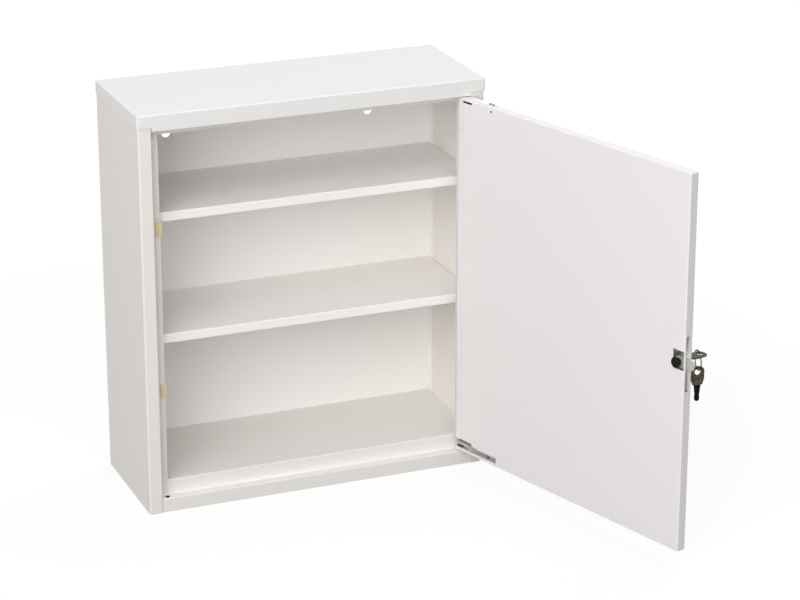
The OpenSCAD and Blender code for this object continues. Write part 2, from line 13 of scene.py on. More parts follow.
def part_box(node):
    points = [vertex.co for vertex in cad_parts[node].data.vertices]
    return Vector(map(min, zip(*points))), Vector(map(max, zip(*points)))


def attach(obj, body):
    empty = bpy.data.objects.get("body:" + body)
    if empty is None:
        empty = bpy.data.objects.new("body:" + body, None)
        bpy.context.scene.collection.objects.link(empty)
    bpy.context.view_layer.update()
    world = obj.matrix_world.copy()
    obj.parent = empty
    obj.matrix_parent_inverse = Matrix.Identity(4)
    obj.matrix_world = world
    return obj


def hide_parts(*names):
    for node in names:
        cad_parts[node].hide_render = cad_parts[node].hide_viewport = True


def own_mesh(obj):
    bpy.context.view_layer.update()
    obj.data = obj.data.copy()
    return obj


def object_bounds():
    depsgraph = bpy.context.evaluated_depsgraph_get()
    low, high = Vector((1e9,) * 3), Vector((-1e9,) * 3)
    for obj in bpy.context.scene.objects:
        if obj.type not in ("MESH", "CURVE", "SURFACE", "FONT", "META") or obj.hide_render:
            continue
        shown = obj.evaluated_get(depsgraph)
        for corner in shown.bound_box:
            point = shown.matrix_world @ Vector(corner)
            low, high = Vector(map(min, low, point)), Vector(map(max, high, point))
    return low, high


bl_info = {
    "name": "Medicine Cabinet",
    "version": (1, 0, 0),
    "blender": (4, 5, 0),
    "location": "View3D > Sidebar > Cabinet",
    "description": "Builds the visible pieces, finishes and stage of a medicine cabinet",
    "category": "Object",
}

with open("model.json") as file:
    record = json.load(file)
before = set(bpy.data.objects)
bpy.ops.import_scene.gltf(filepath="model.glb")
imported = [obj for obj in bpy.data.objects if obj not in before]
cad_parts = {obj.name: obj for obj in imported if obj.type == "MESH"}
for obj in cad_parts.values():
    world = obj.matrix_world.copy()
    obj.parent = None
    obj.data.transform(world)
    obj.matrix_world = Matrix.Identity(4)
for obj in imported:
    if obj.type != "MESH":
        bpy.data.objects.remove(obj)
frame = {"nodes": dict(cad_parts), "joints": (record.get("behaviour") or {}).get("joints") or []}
cad_low, cad_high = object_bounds()
MM = 0.001
joints = {joint["name"]: joint for joint in frame["joints"]}
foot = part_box("base_plate")[0].z

# Places of the assemblies in the shared frame
lid_low, lid_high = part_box("lid")
CABINET = Matrix.Translation((0, lid_low.y, foot))
hinge = Vector(joints["door_hinge"]["pos_m"])
open_angle = math.radians(-joints["door_hinge"]["range_deg"][0])
DOOR = Matrix.Translation((hinge.x, hinge.y, foot)) @ Matrix.Rotation(open_angle, 4, "Z")
lock_axis = DOOR.inverted() @ Vector(joints["lock_turn"]["pos_m"])
LOCK = DOOR @ Matrix.Translation((lock_axis.x, 0, lock_axis.z))
ring_bar = Vector(joints["ring_swing"]["pos_m"])
ring_axis = Vector(joints["ring_swing"]["axis"])
RING = Matrix.Translation(ring_bar) @ Matrix.Rotation(
    math.atan2(ring_axis.x, -ring_axis.y), 4, "Z"
)
spare_bar = Vector(joints["spare_swing"]["pos_m"])
SPARE = Matrix.Translation(spare_bar) @ RING.to_3x3().to_4x4()
ALONG_LOCK = Matrix.Rotation(math.radians(-90), 4, "X")  # z of a turned piece to the lock's y


def shade(red, green, blue):
    """A colour given in 8-bit display values, as the linear colour that Blender wants."""
    return tuple(
        (v / 255 / 12.92) if v <= 10 else ((v / 255 + 0.055) / 1.055) ** 2.4
        for v in (red, green, blue)
    )


# Sizes and finishes ---------------------------------------------------------


def size(name, description, default):
    """A length in millimetres that a user may change."""
    return FloatProperty(name=name, description=description, default=default, min=0.0)


def colour(name, description, default):
    """A finish's colour that a user may change."""
    return FloatVectorProperty(
        name=name, description=description, default=default, subtype="COLOR", min=0, max=1
    )


class CabinetSizes(bpy.types.PropertyGroup):
    lid_corner: size("Lid corner", "Radius of the lid's upright corners, mm", 2.5)
    lid_edge: size("Lid edge", "Radius of the fold round the lid's top, mm", 1.8)
    skirt: size("Lid skirt", "Height of the lid's skirt, mm", 17.0)
    drop: size("Front skirt", "Extra depth of the front skirt between the stiles, mm", 5.0)
    drop_half: size("Front skirt half", "Half width of the deep front skirt, mm", 220.3)
    sheet: size("Sheet", "Thickness of the steel sheet, mm", 1.0)


class DoorSizes(bpy.types.PropertyGroup):
    half: size("Half thickness", "Half of the door's thickness, mm", 6.7)
    reach: size("Reach", "From the pivot axis to the free edge, mm", 429.0)
    bottom: size("Bottom", "Height of the door's lower edge, mm", 21.8)
    top: size("Top", "Height of the door's upper edge, mm", 525.5)
    edge: size("Edge", "Radius of the folds along the free edge, mm", 1.6)
    rim: size("Rim", "Radius of the folds along the top and bottom, mm", 1.0)
    liner_start: size("Liner start", "From the pivot axis to the liner, mm", 7.0)
    liner_bottom: size("Liner bottom", "Height of the liner's lower edge, mm", 26.0)
    liner_top: size("Liner top", "Height of the liner's upper edge, mm", 522.5)
    liner_fold: size("Liner fold", "Radius of the liner's fold beside the nose, mm", 1.2)
    liner_rim: size("Liner rim", "Radius of the liner's other folds, mm", 1.1)
    vent: size("Vent", "Height of the vent slot above the hinge, mm", 2.2)
    slot_half: size("Slot half", "Half height of the cam slot in the free edge, mm", 37.0)
    window_near: size("Window side", "Lock window, from lock towards hinge, mm", 5.2)
    window_up: size("Window up", "Lock window above the lock, mm", 17.5)


class KeySizes(bpy.types.PropertyGroup):
    bow_length: size("Bow length", "Length of a key's bow, mm", 25.0)
    bow_width: size("Bow width", "Width of a key's bow, mm", 18.0)
    bow_thick: size("Bow thickness", "Thickness of a key's bow, mm", 2.0)
    hole: size("Hole", "Radius of the hole in a bow, mm", 4.0)
    blade_length: size("Blade length", "Length of a key's blade, mm", 22.0)
    blade_thick: size("Blade thickness", "Thickness of a key's blade, mm", 1.8)
    ring_radius: size("Ring radius", "Radius of the split ring, mm", 12.9)
    ring_wire: size("Ring wire", "Half thickness of the split ring, mm", 1.0)
    ring_aside: size("Ring aside", "Ring's centre beside its swing axis, mm", 1.7)
    ring_drop: size("Ring drop", "Ring's centre below its swing axis, mm", 6.3)
    hole_in: size("Hole place", "Hole's centre from the bow's end, mm", 7.5)
    bow_gap: size("Bow gap", "From the door's face to the bow of the key, mm", 11.8)


class Finishes(bpy.types.PropertyGroup):
    # Painted light and shade: lid, carcass, inside and tray are one white powder coat in lit and
    # shaded copies. The inside coat is lighter, as painted light in the shaded interior. The
    # lid, carcass and tray coats are darker, as painted shade.
    lid: colour("Lid", "Powder coat of the lid", shade(236, 235, 234))
    carcass: colour("Carcass", "Powder coat of the sides", shade(236, 232, 227))
    inside: colour("Inside", "Powder coat of the back and shelves", shade(249, 246, 243))
    tray: colour("Tray", "Powder coat of the floor and the front rail", shade(238, 235, 231))
    door: colour("Door", "Powder coat of the door", shade(241, 238, 238))
    zinc: colour("Zinc", "Zinc plate", shade(204, 204, 201))
    steel: colour("Steel", "Bright plated steel", shade(206, 206, 206))
    cam: colour("Cam", "Grey plated steel of the cam", shade(190, 189, 180))
    nickel: colour("Nickel", "Satin nickel of the lock", shade(200, 198, 192))
    spring: colour("Spring", "Dark wire of the pin spring", (0.16, 0.16, 0.165))
    screw: colour("Screw", "Dark steel of the screws and the rivet", shade(74, 73, 72))
    key: colour("Key", "Dark nickel of the key in the lock", shade(68, 67, 64))
    key_worn: colour("Worn key", "Worn tone of the key in the lock", shade(44, 43, 41))
    bronze: colour("Bronze", "Worn bronze of the spare key", shade(106, 90, 72))
    bronze_worn: colour("Worn bronze", "Darker tone of the spare key", shade(56, 55, 30))
    blade: colour("Blade", "Blackened steel of the blades", shade(26, 25, 20))
    blade_worn: colour("Worn blade", "Worn tone of the blades", shade(26, 26, 20))
    ring: colour("Ring", "Dark steel of the ring", shade(30, 29, 27))
    cap: colour("Cap", "Black plastic of the cam's cap", shade(9, 9, 9))
    plug: colour("Plug", "Black plastic of the hole plug", shade(15, 15, 15))
    # Painted shade: a near-black tone on the door's inner faces behind the vent slot, standing
    # in for the unlit hollow inside the door.
    primer: colour("Primer", "Dark primer behind the vent slot", shade(26, 25, 24))
    pad: colour("Pad", "Soft tan pads of the buffers", shade(232, 208, 172))
    coat_roughness: FloatProperty(
        name="Coat roughness", description="Roughness of the powder coat", default=0.42
    )


def turn(name, description, degrees):
    """A direction of light in degrees that a user may change."""
    return FloatProperty(
        name=name, description=description, default=math.radians(degrees), subtype="ANGLE"
    )


def watts(name, description, default):
    """The power of a lamp that a user may change."""
    return FloatProperty(name=name, description=description, default=default, min=0.0)


class StageSettings(bpy.types.PropertyGroup):
    key_power: watts("Key power", "Watts of the key lamp", 58.0)
    key_azimuth: turn("Key azimuth", "Key lamp, turned left from the front", 52)
    key_elevation: turn("Key elevation", "Key lamp above the horizon", 20)
    fill_power: watts("Fill power", "Watts of the fill lamp", 70.0)
    fill_azimuth: turn("Fill azimuth", "Fill lamp, turned left from the front", 26)
    fill_elevation: turn("Fill elevation", "Fill lamp above the horizon", 33)
    back_power: watts("Back power", "Watts of the lamp behind and above", 38.0)
    back_azimuth: turn("Back azimuth", "Back lamp, turned left from the front", 230)
    back_elevation: turn("Back elevation", "Back lamp above the horizon", 63)
    key_size: FloatProperty(
        name="Key size", description="Width of the key lamp", default=3.5, unit="LENGTH"
    )
    fill_size: FloatProperty(
        name="Fill size", description="Width of the fill lamp", default=5.0, unit="LENGTH"
    )
    back_size: FloatProperty(
        name="Back size", description="Width of the back lamp", default=2.4, unit="LENGTH"
    )
    distance: FloatProperty(
        name="Lamp distance", description="Lamps to cabinet", default=3.4, unit="LENGTH"
    )
    ambient: FloatProperty(
        name="Ambient", description="Strength of the white surroundings", default=0.36
    )
    floor_radius: FloatProperty(
        name="Floor radius", description="Radius of the floor", default=16.0, unit="LENGTH"
    )
    floor_sides: IntProperty(
        name="Floor sides", description="Sides of the floor", default=64
    )


# Shader nodes ---------------------------------------------------------------


class Value:
    """A shader socket; arithmetic on it adds Math nodes."""

    def __init__(self, tree, socket):
        self.tree = tree
        self.socket = socket

    def math(self, operation, *items):
        node = self.tree.nodes.new("ShaderNodeMath")
        node.operation = operation
        for slot, item in zip(node.inputs, items):
            if isinstance(item, Value):
                self.tree.links.new(item.socket, slot)
            else:
                slot.default_value = item
        return Value(self.tree, node.outputs[0])

    def __add__(self, other):
        return self.math("ADD", self, other)

    def __radd__(self, other):
        return self.math("ADD", other, self)

    def __sub__(self, other):
        return self.math("SUBTRACT", self, other)

    def __rsub__(self, other):
        return self.math("SUBTRACT", other, self)

    def __mul__(self, other):
        return self.math("MULTIPLY", self, other)

    def __rmul__(self, other):
        return self.math("MULTIPLY", other, self)

    def __pow__(self, other):
        return self.math("POWER", self, other)

    def above(self, edge, soft):
        """0 below edge, 1 above edge + soft, smooth between."""
        node = self.tree.nodes.new("ShaderNodeMapRange")
        node.interpolation_type = "SMOOTHSTEP"
        self.tree.links.new(self.socket, node.inputs["Value"])
        node.inputs["From Min"].default_value = edge
        node.inputs["From Max"].default_value = edge + soft
        return Value(self.tree, node.outputs["Result"])


class Finish:
    """A node material in the making. Constants go straight to the shader's sockets."""

    def __init__(self, name, **constants):
        self.material = bpy.data.materials.new(name)
        self.material.use_nodes = True
        self.tree = self.material.node_tree
        self.shader = self.tree.nodes["Principled BSDF"]
        for word, value in constants.items():
            socket = word.replace("_", " ").title().replace("Ior", "IOR")
            self.shader.inputs[socket].default_value = value
        self.place = self.node("ShaderNodeTexCoord").outputs["Object"]

    def node(self, kind, settings=None, inputs=None):
        """Adds a node: its settings first, then the values or links of its sockets."""
        node = self.tree.nodes.new(kind)
        for setting, value in (settings or {}).items():
            setattr(node, setting, value)
        for slot, item in (inputs or {}).items():
            self.put(node.inputs[slot], item)
        return node

    def put(self, socket, item):
        if isinstance(item, Value):
            self.tree.links.new(item.socket, socket)
        elif isinstance(item, bpy.types.NodeSocket):
            self.tree.links.new(item, socket)
        else:
            opaque = socket.type == "RGBA" and len(item) == 3
            socket.default_value = (*item, 1) if opaque else item

    def stretched(self, scale):
        """Object coordinates stretched by a scale for each axis."""
        inputs = {"Vector": self.place, "Scale": scale}
        return self.node("ShaderNodeMapping", None, inputs).outputs[0]

    def noise(self, scale, detail=2.0, roughness=0.5, where=None):
        inputs = {"Vector": where or self.place, "Scale": scale, "Detail": detail,
                  "Roughness": roughness}
        return Value(self.tree, self.node("ShaderNodeTexNoise", None, inputs).outputs["Fac"])

    def mixed(self, mask, first, second):
        """The first colour where mask is 0, the second where it is 1."""
        settings = {"data_type": "RGBA"}
        return self.node("ShaderNodeMix", settings, {0: mask, 6: first, 7: second}).outputs[2]

    def lit(self, base, factor):
        """A colour made lighter or darker by a factor that varies."""
        inputs = {0: base, "Scale": factor}
        return self.node("ShaderNodeVectorMath", {"operation": "SCALE"}, inputs).outputs[0]

    def bump(self, height, strength, distance):
        inputs = {"Height": height, "Strength": strength, "Distance": distance}
        node = self.node("ShaderNodeBump", None, inputs)
        self.put(self.shader.inputs["Normal"], node.outputs[0])

    def colour(self, item):
        self.put(self.shader.inputs["Base Color"], item)

    def roughness(self, item):
        self.put(self.shader.inputs["Roughness"], item)


def powder_coat(name, base, roughness):
    """Satin powder coat: faint orange peel, uneven tone and gloss, odd dust specks."""
    finish = Finish(name)
    cloud = finish.noise(6.0, 3.0)
    grain = finish.noise(260.0, 3.0, 0.6)
    speck = finish.noise(900.0, 1.0).above(0.76, 0.05)
    tone = 0.985 + cloud * 0.02 + grain * 0.012 - speck * 0.05
    finish.colour(finish.lit(base, tone))
    finish.roughness(roughness - 0.06 + cloud * 0.08 + grain * 0.06)
    skin = finish.noise(620.0, 2.0, 0.45)
    wave = finish.noise(38.0, 2.0)
    finish.bump(skin + wave * 0.8, 0.22, 0.00022)
    return finish.material


def plated(name, base, roughness, brush=(90.0, 90.0, 900.0), wear=None, metallic=1.0,
           patch=420.0, blend=0.16):
    """Plated steel: brush lines, cloudy gloss and, where wear is given, a worn second tone."""
    finish = Finish(name, metallic=metallic)
    lines = finish.noise(1.0, 3.0, 0.6, finish.stretched(brush))
    cloud = finish.noise(240.0, 3.0)
    streaks = finish.stretched((1500.0, 320.0, 260.0))
    scratch = finish.noise(1.0, 2.0, 0.6, streaks).above(0.62, 0.06)
    tone = 0.9 + lines * 0.12 + cloud * 0.08
    body = finish.lit(base, tone)
    if wear is not None:
        mask = finish.noise(patch, 4.0, 0.65).above(0.46, blend)
        body = finish.mixed(mask, body, finish.lit(wear, tone))
    finish.colour(body)
    finish.roughness(roughness + lines * 0.12 + cloud * 0.1 - scratch * 0.08)
    finish.bump(lines * 0.6 + scratch + cloud * 0.5, 0.25, 0.00006)
    return finish.material


def moulded(name, base, roughness, grain, depth, specular=0.5):
    """Moulded plastic or rubber with a fine grain and slight unevenness of gloss."""
    finish = Finish(name, specular_ior_level=specular)
    fine = finish.noise(grain, 3.0, 0.6)
    cloud = finish.noise(180.0, 2.0)
    finish.colour(finish.lit(base, 0.88 + cloud * 0.14 + fine * 0.1))
    finish.roughness(roughness + cloud * 0.1 + fine * 0.06)
    finish.bump(fine, 0.3, depth)
    return finish.material


def wear_material(obj, material, inner=None, hidden=None):
    """Gives a piece its finish, and its hidden inner faces another where one is given."""
    obj.data.materials.clear()
    obj.data.materials.append(material)
    if inner is not None:
        obj.data.materials.append(inner)
    for face in obj.data.polygons:
        face.material_index = 1 if inner is not None and hidden(face.center / MM) else 0


# Modelling ------------------------------------------------------------------


def take(obj):
    """Selects one object and makes it active, with everything else deselected."""
    bpy.ops.object.select_all(action="DESELECT")
    obj.select_set(True)
    bpy.context.view_layer.objects.active = obj


def block(name, low, high):
    """A box between two corners given in millimetres, as the start of a piece."""
    bpy.ops.object.select_all(action="DESELECT")
    low, high = Vector(low) * MM, Vector(high) * MM
    bpy.ops.mesh.primitive_cube_add(size=1, location=(low + high) / 2)
    obj = bpy.context.object
    obj.name = name
    obj.scale = high - low
    bpy.ops.object.transform_apply()
    return obj


def rod(name, radius, low, high, place=None, sides=48):
    """A cylinder on the z axis between two heights in millimetres, then moved to its place."""
    bpy.ops.object.select_all(action="DESELECT")
    bpy.ops.mesh.primitive_cylinder_add(
        vertices=sides,
        radius=radius * MM,
        depth=(high - low) * MM,
        location=(0, 0, (low + high) / 2 * MM),
    )
    obj = bpy.context.object
    obj.name = name
    bpy.ops.object.transform_apply()
    if place is not None:
        put_at(obj, place)
    return obj


def put_at(obj, place):
    """Moves a piece by a matrix and bakes the place into its mesh."""
    take(obj)
    obj.matrix_world = place @ obj.matrix_world
    bpy.ops.object.transform_apply()
    return obj


@contextmanager
def shaping(obj, kind="EDGE"):
    """Edit mode on one piece, nothing selected at first."""
    take(obj)
    bpy.ops.object.mode_set(mode="EDIT")
    bpy.ops.mesh.select_mode(type=kind)
    bpy.ops.mesh.select_all(action="DESELECT")
    yield
    bpy.ops.object.mode_set(mode="OBJECT")


def pick(obj, kind, test):
    """Selects the verts, edges or faces whose points, in millimetres, all pass the test."""
    shape = bmesh.from_edit_mesh(obj.data)
    found = 0
    for part in getattr(shape, kind):
        points = [part.co] if kind == "verts" else [v.co for v in part.verts]
        chosen = all(test(p / MM) for p in points)
        part.select_set(chosen)
        found += chosen
    bmesh.update_edit_mesh(obj.data)
    if not found:
        raise RuntimeError(f"{obj.name}: nothing to select")


def near(value, target, slack=0.02):
    return abs(value - target) < slack


def spans(one, two, axis="z"):
    """Whether the edge between two points runs along an axis."""
    return abs(getattr(one, axis) - getattr(two, axis)) > 0.5


def round_off(obj, test, radius, segments=4, weld=0.005):
    """Bevels the edges whose two ends, in millimetres, pass the test, then merges doubles."""
    with shaping(obj):
        shape = bmesh.from_edit_mesh(obj.data)
        found = 0
        for edge in shape.edges:
            chosen = test(*(v.co / MM for v in edge.verts))
            edge.select_set(chosen)
            found += chosen
        bmesh.update_edit_mesh(obj.data)
        if not found:
            raise RuntimeError(f"{obj.name}: no edge to round off")
        bpy.ops.mesh.bevel(offset=radius * MM, segments=segments, affect="EDGES")
        if weld:
            bpy.ops.mesh.select_all(action="SELECT")
            bpy.ops.mesh.remove_doubles(threshold=weld * MM)


def both(test):
    """A test of an edge that holds where each of its ends passes the test of a point."""
    return lambda one, two: test(one) and test(two)


def modify(obj, kind, **settings):
    """Adds a modifier, sets it and applies it."""
    take(obj)
    bpy.ops.object.modifier_add(type=kind)
    modifier = obj.modifiers[-1]
    for setting, value in settings.items():
        setattr(modifier, setting, value)
    bpy.ops.object.modifier_apply(modifier=modifier.name)
    return obj


def walls(obj, thickness):
    """Gives a sheet its thickness, inwards."""
    return modify(obj, "SOLIDIFY", thickness=thickness * MM, offset=-1, use_even_offset=True)


def soften(obj, width, segments=2, angle=35):
    """Breaks the sharp edges of a finished shape."""
    return modify(
        obj,
        "BEVEL",
        width=width * MM,
        segments=segments,
        limit_method="ANGLE",
        angle_limit=math.radians(angle),
        harden_normals=False,
    )


def cut(obj, *tools):
    """Cuts a piece with tools, which are used up."""
    for tool in tools:
        modify(obj, "BOOLEAN", object=tool, operation="DIFFERENCE", solver="EXACT")
        bpy.data.objects.remove(tool)
    return obj


def join_on(obj, other):
    """Welds another solid to a piece."""
    modify(obj, "BOOLEAN", object=other, operation="UNION", solver="EXACT")
    bpy.data.objects.remove(other)
    return obj


def turned(name, rings, closed=False, sides=48):
    """A turned piece on the z axis, from rings of (radius, height) in millimetres."""
    bpy.ops.object.select_all(action="DESELECT")
    radius, height = rings[0]
    bpy.ops.mesh.primitive_circle_add(
        vertices=sides,
        radius=radius * MM,
        fill_type="NOTHING" if closed else "NGON",
        location=(0, 0, height * MM),
    )
    obj = bpy.context.object
    obj.name = name
    bpy.ops.object.transform_apply()
    bpy.ops.object.mode_set(mode="EDIT")
    bpy.ops.mesh.select_mode(type="EDGE" if closed else "FACE")
    bpy.ops.mesh.select_all(action="SELECT")
    for next_radius, next_height in rings[1:] + (rings[:1] if closed else []):
        rise = (next_height - height) * MM
        bpy.ops.mesh.extrude_region_move(TRANSFORM_OT_translate={"value": (0, 0, rise)})
        grow = next_radius / radius
        bpy.ops.transform.resize(
            value=(grow, grow, 1), center_override=(0, 0, next_height * MM)
        )
        radius, height = next_radius, next_height
    bpy.ops.mesh.select_all(action="SELECT")
    bpy.ops.mesh.remove_doubles(threshold=0.001 * MM)
    bpy.ops.mesh.normals_make_consistent(inside=False)
    bpy.ops.object.mode_set(mode="OBJECT")
    return obj


def copied(obj, name):
    """A copy of a piece with its own mesh."""
    take(obj)
    bpy.ops.object.duplicate()
    twin = bpy.context.object
    twin.name = name
    return twin


def wire_section(name, radius, middle):
    """A round wire's section in the xz plane, its middle at a distance from the z axis."""
    bpy.ops.object.select_all(action="DESELECT")
    bpy.ops.mesh.primitive_circle_add(
        vertices=12,
        radius=radius * MM,
        rotation=(math.pi / 2, 0, 0),
        location=(middle * MM, 0, 0),
    )
    wire = bpy.context.object
    wire.name = name
    bpy.ops.object.transform_apply()
    return wire


def wound(wire, angle, rise, turns, steps, weld=None):
    """Winds a wire's section round the z axis, rising by each turn, and closes its ends."""
    modify(wire, "SCREW", angle=angle, screw_offset=rise * MM, iterations=turns,
           steps=steps, render_steps=steps, use_merge_vertices=False)
    with shaping(wire, "VERT"):
        if weld:
            bpy.ops.mesh.select_all(action="SELECT")
            bpy.ops.mesh.remove_doubles(threshold=weld * MM)
        bpy.ops.mesh.select_non_manifold()
        bpy.ops.mesh.select_mode(type="EDGE")
        bpy.ops.mesh.edge_face_add()
        bpy.ops.mesh.select_all(action="SELECT")
        bpy.ops.mesh.normals_make_consistent(inside=False)


def hand_over(obj, body, nodes, material, angle=30):
    """Last step of a piece: shading, finish, body, and the frame nodes it stands for."""
    take(obj)
    bpy.ops.object.shade_smooth_by_angle(angle=math.radians(angle))
    modify(obj, "WEIGHTED_NORMAL", keep_sharp=True)
    obj.data.name = obj.name
    if material is not None:
        wear_material(obj, material)
    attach(obj, body)
    if nodes:
        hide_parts(*nodes)


class Maker(bpy.types.Operator):
    """Common base of the cabinet's operators."""

    bl_options = {"REGISTER", "UNDO"}

    def execute(self, context):
        self.make(context.scene)
        return {"FINISHED"}


# Cabinet --------------------------------------------------------------------


class CABINET_OT_carcass(Maker):
    """Paints and plates the cabinet parts whose frame shapes are shown as they are."""

    bl_idname = "cabinet.carcass"
    bl_label = "Finish the Carcass"

    def make(self, scene):
        tones = scene.cabinet_finishes
        rough, duller = tones.coat_roughness, tones.coat_roughness + 0.04
        # The coats are lit and shaded copies of one white: inside lighter as painted light,
        # sides and tray darker as painted shade.
        side = powder_coat("carcass_paint", tones.carcass, rough)
        inside = powder_coat("inside_paint", tones.inside, duller)
        tray = powder_coat("tray_paint", tones.tray, duller)
        zinc = plated("zinc_plate", tones.zinc, 0.3)
        finishes = {
            side: ("side_left", "side_right", "base_plate", "top_channel", "shelf_rests"),
            inside: ("back_panel", "shelf_upper", "shelf_lower"),
            tray: ("floor_tray",),
            zinc: ("bearing_plate_lower", "bearing_plate_upper", "thrust_washer",
                   "door_stiffener", "lock_nut"),
        }
        for material, nodes in finishes.items():
            for node in nodes:
                wear_material(frame["nodes"][node], material)


class CABINET_OT_lid(Maker):
    """Makes the lid: a folded cover with rounded edges and a deeper skirt in front."""

    bl_idname = "cabinet.lid"
    bl_label = "Make the Lid"

    def make(self, scene):
        sizes = scene.cabinet_sizes
        wide, deep = lid_high.x / MM, (lid_high.y - lid_low.y) / MM
        high = (lid_high.z - foot) / MM
        skirt, half = high - sizes.skirt, sizes.drop_half
        lid = block("lid_cover", (-wide, 0, skirt), (wide, deep, high))
        with shaping(lid, "FACE"):
            pick(lid, "faces", lambda p: near(p.z, skirt))
            bpy.ops.mesh.delete(type="FACE")
        round_off(lid, spans, sizes.lid_corner, 6, weld=None)
        round_off(lid, both(lambda p: near(p.z, high)), sizes.lid_edge, 5, weld=None)
        with shaping(lid, "FACE"):
            for side in (-half, half):
                pick(lid, "faces", lambda p: near(p.y, 0))
                bpy.ops.mesh.bisect(plane_co=(side * MM, 0, 0), plane_no=(1, 0, 0))

        def front(p):
            return near(p.y, 0) and near(p.z, skirt) and abs(p.x) < half + 0.1

        with shaping(lid):
            pick(lid, "edges", front)
            bpy.ops.mesh.extrude_region_move(
                TRANSFORM_OT_translate={"value": (0, 0, -sizes.drop * MM)}
            )
        walls(lid, sizes.sheet)
        soften(lid, 0.2, 2, 60)
        put_at(lid, CABINET)
        tones = scene.cabinet_finishes
        # The lid's coat is a darker copy of the shared white, as painted shade on its well-lit
        # top.
        paint = powder_coat("lid_paint", tones.lid, tones.coat_roughness)
        hand_over(lid, "cabinet", ["lid"], paint)


class CABINET_OT_buffers(Maker):
    """Makes the two soft pads that clip over the lock-side stop lip."""

    bl_idname = "cabinet.buffers"
    bl_label = "Make the Buffers"

    def make(self, scene):
        material = moulded("buffer_pad", scene.cabinet_finishes.pad, 0.55, 1400, 0.00008)
        bottom, top = (CABINET.inverted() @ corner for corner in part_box("buffers"))
        left, right = bottom.x / MM, top.x / MM
        front, rear = bottom.y / MM, top.y / MM
        tall, lip, leg_thick = 20, 16, 1.8
        level, upper_level = bottom.z / MM, top.z / MM - tall
        pad = block("buffer_lower", (left, front, level), (right, lip, level + tall))
        join_on(pad, block("buffer_leg", (right - leg_thick, front, level),
                           (right, rear, level + tall)))
        soften(pad, 0.5, 3)
        twin = copied(pad, "buffer_upper")
        put_at(twin, Matrix.Translation((0, 0, (upper_level - level) * MM)))
        for piece, nodes in ((pad, ["buffers"]), (twin, [])):
            put_at(piece, CABINET)
            hand_over(piece, "cabinet", nodes, material)


# Door -----------------------------------------------------------------------

BEHIND_VENT = 36.0  # reach of the corner behind the vent slot that is painted dark as shade, mm
VENT_SIDES = (-24.0, -6.2)  # ends of the vent slot along the door, mm
VENT_INNER = 3.0  # the vent slot's side towards the middle of the door, mm
NOTCH = 13.0  # height of the hinge notch above the liner's lower edge, mm
OVER = 1.0  # how far a cutter runs past a face, mm


def mark_off(panel, top):
    """Cuts a panel's faces where the corner behind the vent slot, painted dark as shade, ends.
    """
    ends = (((-BEHIND_VENT, 0, 0), (1, 0, 0)), ((0, 0, top - BEHIND_VENT), (0, 0, 1)))
    with shaping(panel, "FACE"):
        for place, way in ends:
            bpy.ops.mesh.select_all(action="SELECT")
            bpy.ops.mesh.bisect(plane_co=Vector(place) * MM, plane_no=way)


class CABINET_OT_door_skin(Maker):
    """Makes the outer door skin: full-round nose on the pivot, square folded free edge."""

    bl_idname = "cabinet.door_skin"
    bl_label = "Make the Door Skin"

    def make(self, scene):
        door, sheet = scene.door_sizes, scene.cabinet_sizes.sheet
        half, reach = door.half, door.reach
        skin = block("door_outer_skin", (-reach, -half, door.bottom), (half, half, door.top))
        for where, radius, segments in ((half, half, 12), (-reach, door.edge, 5)):

            def upright(one, two, where=where):
                return spans(one, two) and near(one.x, where) and near(abs(one.y), half)

            round_off(skin, upright, radius, segments, weld=0.01)
        for level in (door.bottom, door.top):
            round_off(skin, both(lambda p, level=level: near(p.z, level)), door.rim)
        walls(skin, sheet)
        low, high = door.liner_bottom, door.liner_top
        lock_a, lock_z = lock_axis.x / MM, lock_axis.z / MM
        slot_low, slot_high = lock_z - door.slot_half, lock_z + door.slot_half
        slot_outer, slot_inner, flange = -2.6, 3.9, 4.6
        lock_hole, low_pin_hole, high_pin_hole = 9, 2.3, 2.1
        lock_place = Matrix.Translation((lock_a * MM, 0, lock_z * MM)) @ ALONG_LOCK
        vent_start, vent_end = VENT_SIDES
        cut(
            skin,
            block("liner_opening", (-reach + sheet, half - 2 * sheet, low),
                  (-door.liner_start, half + OVER, high)),
            block("hinge_notch", (-door.liner_start - 0.5, -1, low),
                  (half + OVER, half + OVER, low + NOTCH)),
            block("vent", (vent_start, VENT_INNER, high - door.vent),
                  (vent_end, half + OVER, high + 0.5)),
            block("cam_slot", (-reach - OVER, slot_outer, slot_low),
                  (-reach + sheet + OVER, slot_inner, slot_high)),
            rod("lock_hole", lock_hole, -half - OVER, 0, lock_place),
            rod("lower_pin_hole", low_pin_hole, door.bottom - OVER, door.bottom + sheet + OVER),
            rod("upper_pin_hole", high_pin_hole, door.top - sheet - OVER, door.top + OVER),
        )
        join_on(skin, block("slot_flange", (-reach + sheet / 2, slot_outer - sheet, slot_low),
                            (-reach + sheet + flange, slot_outer, slot_high)))
        soften(skin, 0.15, 2, 55)
        mark_off(skin, door.top)
        tones = scene.cabinet_finishes
        paint = powder_coat("door_paint", tones.door, tones.coat_roughness)
        # Painted shade: the skin's inner faces behind the vent slot take the near-black vent
        # tone, for the unlit hollow.
        primer = powder_coat("door_primer", tones.primer, 0.6)
        depth = 0.7 * sheet

        def hidden(point):
            within = math.hypot(max(point.x, 0), point.y) < half - depth
            level = door.top - BEHIND_VENT < point.z < door.top - depth
            return within and level and point.x > -BEHIND_VENT

        wear_material(skin, paint, primer, hidden)
        put_at(skin, DOOR)
        hand_over(skin, "door", ["door_skin"], None)


